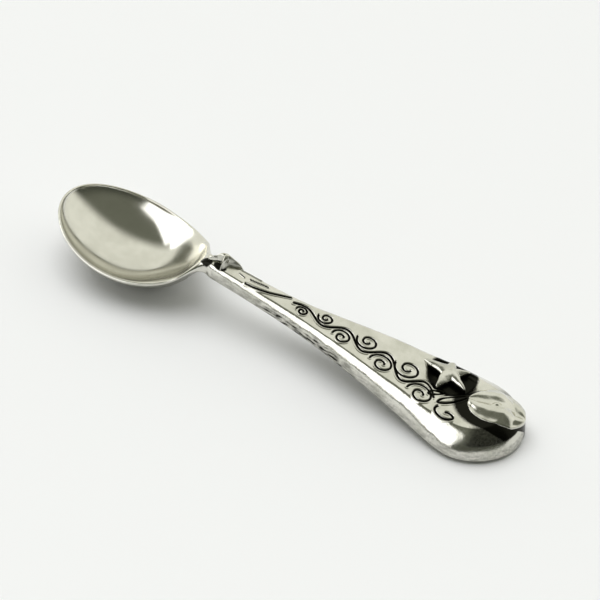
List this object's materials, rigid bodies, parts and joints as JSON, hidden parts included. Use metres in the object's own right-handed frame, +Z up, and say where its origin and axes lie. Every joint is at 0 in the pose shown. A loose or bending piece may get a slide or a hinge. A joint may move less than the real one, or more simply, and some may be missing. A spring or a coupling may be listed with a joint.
{
  "type": "souvenir spoon",
  "caption": "Cast-pewter souvenir spoon: a small dished oval bowl on a handle that widens to a thick rounded end with raised star and lobe ornaments.",
  "frame": {"origin": "middle of the spoon's length and width, on the plane it lies on", "axes": "+X along the spoon from the bowl's tip to the handle's end, +Y across it, +Z up, out of the bowl's open side"},
  "size_m": [0.108, 0.0222, 0.0135],
  "materials": {
    "polished_pewter": "polished cast pewter, softly mottled, dark oxide in the hollows and engraved lines",
    "darkened_pewter": "cast pewter with dark patina between the ridges, worn bright on the high edges"
  },
  "bodies": {
    "root": {"bowl": "polished_pewter", "handle": "polished_pewter", "neck_star": "darkened_pewter", "end_star": "darkened_pewter", "end_lobe": "polished_pewter"}
  },
  "joints": []
}
